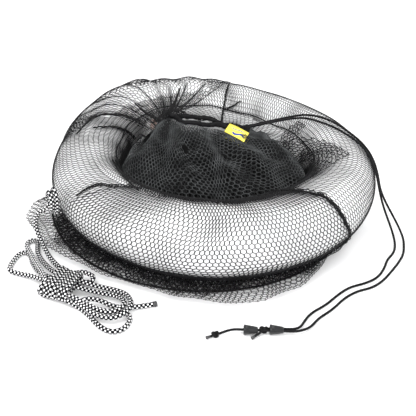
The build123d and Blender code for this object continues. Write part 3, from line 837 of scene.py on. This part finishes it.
def make_painted_shade_sheet():
    """Painted shade under the mouth net: the many layers there that no light comes through, as one near-black crumpled
    surface.
    """
    rows, columns = 70, 110
    t, s = np.meshgrid(np.linspace(0, 1, rows), np.linspace(0, 1, columns), indexing="ij")
    points = mound_surface(s.ravel(), t.ravel(), 0.0115, 2.2)
    points[:, 2] += 0.0022 * crumple(points[:, 0], points[:, 1], 0.006, 3.3)
    made = mesh_object("mound_painted_shade_sheet", points, grid_faces(rows, columns), [painted_shade_black])
    finish_piece(made, "ring")


make_painted_shade_sheet()


def neck_behind(s, t):
    """The single layer between the mouth's back edge and the ring's inner seam."""
    edge_x, edge_y = mouth_point(lerp(-4.0, 170.0, s), 0.001)
    at = lerp(-20.0, 146.0, s)
    foot = ring_point(at, 146, 0.0474)
    sag = -0.006 * np.sin(pi * t) + 0.0020 * np.sin(2 * pi * 9 * s) * (1 - t)
    x, y = lerp(edge_x, foot[:, 0], t), lerp(edge_y, foot[:, 1], t)
    return np.stack([x, y, lerp(NET_TOP_Z, foot[:, 2], t) + sag], axis=1)


neck_back = net("neck_net_back", 46, 16, neck_behind, net_black, NECK_BACK_THREAD)
finish_piece(neck_back, "ring")


def hem_line():
    angle = np.arange(0, 360, 0.75)
    x, y = mouth_point(angle)
    z = HEM_Z + 0.0022 * np.sin(np.radians(angle) * 4 + 0.6) + 0.0012 * np.sin(np.radians(angle) * 9)
    return spaced(np.stack([x, y, z], axis=1), 0.0006)


def gathered_cloth(k, j):
    puckers = 0.13 * np.sin(k * 0.55 + 1.1 * np.sin(k * 0.09)) * np.cos(2 * pi * j / 20 * 2)
    return 1 + puckers + 0.06 * np.sin(k * 0.31 + j)


hem = tube("mouth_hem_tape", hem_line(), 0.0031, 20, [tape_black], gathered_cloth, closed=True)
finish_piece(hem, "ring", ["mouth_hem", "drawstring_loop"])

# ------ the label
LABEL = mm([(26.5, -3.5, 120.0), (52.0, -17.5, 114.5), (45.5, -32.0, 107.5), (19.5, -12.0, 112.0)])


def label_point(a, b, lift, shift=(0, 0, 0)):
    """A point on the label, a across it and b down it, both from 0 to 1."""
    top = LABEL[0] * (1 - a)[:, None] + LABEL[1] * a[:, None]
    low = LABEL[3] * (1 - a)[:, None] + LABEL[2] * a[:, None]
    made = top * (1 - b)[:, None] + low * b[:, None]
    normal = unit(np.cross(LABEL[1] - LABEL[0], LABEL[0] - LABEL[3]))
    if normal[2] < 0:
        normal = -normal
    wave = 0.0022 * np.sin(pi * a) * (0.4 + 0.6 * b) + 0.0006 * np.sin(5 * a + 3 * b)
    return made + normal * (lift + wave)[:, None] + np.array(shift)


def label_sheet(name, lift, thick, shift=(0, 0, 0)):
    """A thin closed leaf of the label."""
    rows, columns = 16, 26
    down, across = np.meshgrid(np.linspace(0, 1, rows), np.linspace(0, 1, columns), indexing="ij")
    across, down = across.ravel(), down.ravel()
    count = rows * columns
    top = label_point(across, down, np.full(count, lift + thick), shift)
    low = label_point(across, down, np.full(count, lift), shift)
    faces = grid_faces(rows, columns)
    index = np.arange(count).reshape(rows, columns)
    rim = np.concatenate([index[0, :-1], index[:-1, -1], index[-1, :0:-1], index[:0:-1, 0]])
    after = np.roll(rim, -1)
    sides = np.stack([rim, after, after + count, rim + count], axis=1)
    return mesh_object(name, np.vstack([top, low]), np.vstack([faces, faces[:, ::-1] + count, sides]), [label_yellow])


label_top = label_sheet("label_leaf", 0.0012, 0.0006)
label_low = label_sheet("label_lower_leaf", -0.0052, 0.0006, (-0.001, -0.006, -0.004))
finish_piece(label_top, "ring", ["label"])
finish_piece(label_low, "ring")


def label_wave(name, start, end, height, middle, width):
    """A plain printed wave line, as a thin raised strip."""
    share = np.linspace(0, 1, 60)
    a = lerp(start, end, share)
    b = middle + height * np.sin(2 * pi * share)
    half = width * np.clip(np.sin(pi * share) * 2.5, 0.15, 1)
    rows = [label_point(a, b - half, np.full(60, 0.0019)), label_point(a, b + half, np.full(60, 0.0019)),
            label_point(a, b + half, np.full(60, 0.0017)), label_point(a, b - half, np.full(60, 0.0017))]
    made = mesh_object(name, np.vstack(rows), grid_faces(4, 60, closed_rows=True), [label_blue])
    finish_piece(made, "ring")


label_wave("label_wave_1", 0.30, 0.90, 0.11, 0.64, 0.10)
label_wave("label_wave_2", 0.16, 0.84, 0.07, 0.28, 0.035)


def stitches():
    """A row of stitches across the label's top edge."""
    down = 0.07
    parts, faces = [], []
    for n in range(14):
        a = np.array([0.04 + 0.07 * n, 0.04 + 0.07 * n + 0.04])
        ends = label_point(a, np.array([down, down]), np.full(2, 0.0021))
        way = unit(ends[1] - ends[0])
        side = unit(np.cross(way, (0, 0, 1))) * 0.00028
        over = np.cross(way, side)
        for end in ends:
            parts += [end + side, end + over, end - side, end - over]
        faces += [[8 * n + k, 8 * n + (k + 1) % 4, 8 * n + 4 + (k + 1) % 4, 8 * n + 4 + k] for k in range(4)]
    made = mesh_object("label_stitches", np.array(parts), np.array(faces), [tape_black])
    finish_piece(made, "ring")


stitches()

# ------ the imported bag
EDGE_AT = [-175, -170, -162, -150, -144, -137, -124, -110, -98, -91, -81, -73, -60, -53, -43, -34, 0, 40, 90, 140, 170]
EDGE_R = [217, 240, 250, 249, 245, 239, 231, 230, 234, 240, 246, 246, 234, 225, 211, 210, 208, 204, 206, 208, 206]
WALL_LENGTH = 0.40         # from the ring's lower seam to the floor's hem along the netting
WALL_SKEW = 1.8            # how far, in degrees, the wall's columns lean to and fro
FOLD_T = [0.0, 0.125, 0.40, 0.655, 0.87, 1.0]
FOLD_Z = [0.0116, 0.0093, 0.0080, 0.0064, 0.0047, 0.0034]


def wall_point(at, t):
    """The bag's folded wall, from the ring's lower seam (t = 0) to the hem of its floor (t = 1)."""
    seam = RING_RADIUS + np.interp((at + 180) % 360 - 180, ROUND_AT, ROUND_BY) + LOW_SEAM_AT * cos(radians(LOW_V))
    edge = np.interp(at, EDGE_AT, EDGE_R, period=360) * 0.001
    edge = edge + 0.0015 * np.sin(np.radians(at) * 17) + 0.001 * np.sin(np.radians(at) * 29 + 1)
    x, y = np.cos(np.radians(at)), np.sin(np.radians(at))
    hem_r = BASE_HEM_RADIUS + (BASE_X * x + BASE_Y * y)
    second = np.minimum(edge - 0.006, 0.198 + 0.026 * np.sin(np.radians(at) * 3.5 + 1) ** 2
                        + 0.007 * np.sin(np.radians(at) * 19) ** 2)
    inner = (2 * edge + 2 * second + hem_r - seam - 0.024 - WALL_LENGTH) / 4 + 0.006 * np.sin(np.radians(at) * 5)
    stops = [seam, edge, inner, second, inner + 0.012, hem_r]
    out = np.zeros_like(at)
    for k in range(len(FOLD_T) - 1):
        here = (t >= FOLD_T[k]) & (t <= FOLD_T[k + 1])
        share = (t - FOLD_T[k]) / (FOLD_T[k + 1] - FOLD_T[k])
        out = np.where(here, lerp(stops[k], stops[k + 1], 0.7 * share + 0.15 - 0.15 * np.cos(pi * share)), out)
    z = np.interp(t, FOLD_T, FOLD_Z) + 0.0003 * np.sin(np.radians(at) * 13 + 6 * t)
    return np.stack([out * x, out * y, z], axis=-1)


def wall(name, start, end, columns):
    def place(s, t):
        at = lerp(start, end, s) + WALL_SKEW * np.sin(2 * pi * t) + 0.6 * np.sin(2 * pi * (6 * s + t))
        return wall_point((at + 180) % 360 - 180, t)
    made = net(name, columns, 62, place, net_black, WALL_THREAD)
    blend_piece(made)
    return made


wall_pieces = [wall("bag_wall_front_left", -180, -90, 50), wall("bag_wall_front_right", -90, 0, 50),
               wall("bag_wall_back_right", 0, 90, 48), wall("bag_wall_back_left", 90, 180, 48)]
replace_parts(wall_pieces[0], "bag_wall")


def base_point(s, t):
    x, y = lerp(-0.215, 0.195, s), lerp(-0.217, 0.193, t)
    return np.stack([x, y, 0.0011 + 0.0003 * np.sin(40 * x) * np.sin(37 * y)], axis=1)


def in_base(points):
    return np.hypot(points[:, 0] - BASE_X, points[:, 1] - BASE_Y) < 0.2035


base = net("base_net", 64, 76, base_point, net_black, BASE_THREAD, keep=in_base)
finish_piece(base, "bag_base", ["base_panel"])
angle = np.radians(np.arange(0, 360, 0.4))
hem_ring = np.stack([BASE_X + BASE_HEM_RADIUS * np.cos(angle), BASE_Y + BASE_HEM_RADIUS * np.sin(angle),
                     0.00255 + 0.0002 * np.sin(angle * 23)], axis=1)
base_hem = tube("base_hem_tape", hem_ring, 0.0013, 12, [tape_black], twisted, closed=True)
finish_piece(base_hem, "bag_base", ["base_hem"])


# ------ the valve
for node in ("valve_base", "valve_plug"):
    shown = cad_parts[node]
    shown.data.materials.clear()
    shown.data.materials.append(pvc_clear)


# ------ floor and light
def make_floor():
    size = 6.0
    points = np.array([(-size, -size, 0), (-size, size, 0), (size, -size, 0), (size, size, 0)])
    floor_finish = material("floor_pale", (0.93, 0.93, 0.935), (0.95, 0.95, 0.955), (0.55, 0.65), 20, 0.02, 3, 0.3)
    floor = mesh_object("floor", points, grid_faces(2, 2), [floor_finish])


def area_light(name, place, aim, size, power):
    data = bpy.data.lights.new(name, "AREA")
    data.shape = "DISK"
    data.size = size
    data.energy = power
    lamp = bpy.data.objects.new(name, data)
    lamp.location = place
    lamp.rotation_euler = (Vector(aim) - Vector(place)).to_track_quat("-Z", "Y").to_euler()
    bpy.context.scene.collection.objects.link(lamp)


def make_light():
    world = bpy.data.worlds.new("studio")
    world.use_nodes = True
    world.node_tree.nodes["Background"].inputs["Color"].default_value = (1, 1, 1, 1)
    world.node_tree.nodes["Background"].inputs["Strength"].default_value = 1.3
    bpy.context.scene.world = world
    bpy.context.scene.view_settings.view_transform = "Standard"
    area_light("key", (-0.6, -0.7, 1.6), (0, 0, 0.03), 1.0, 15)
    area_light("front", (0.1, -1.6, 0.75), (0, 0, 0.08), 1.0, 12)
    area_light("fill", (1.2, 0.5, 1.5), (0, 0, 0.05), 1.2, 7)


make_floor()
make_light()
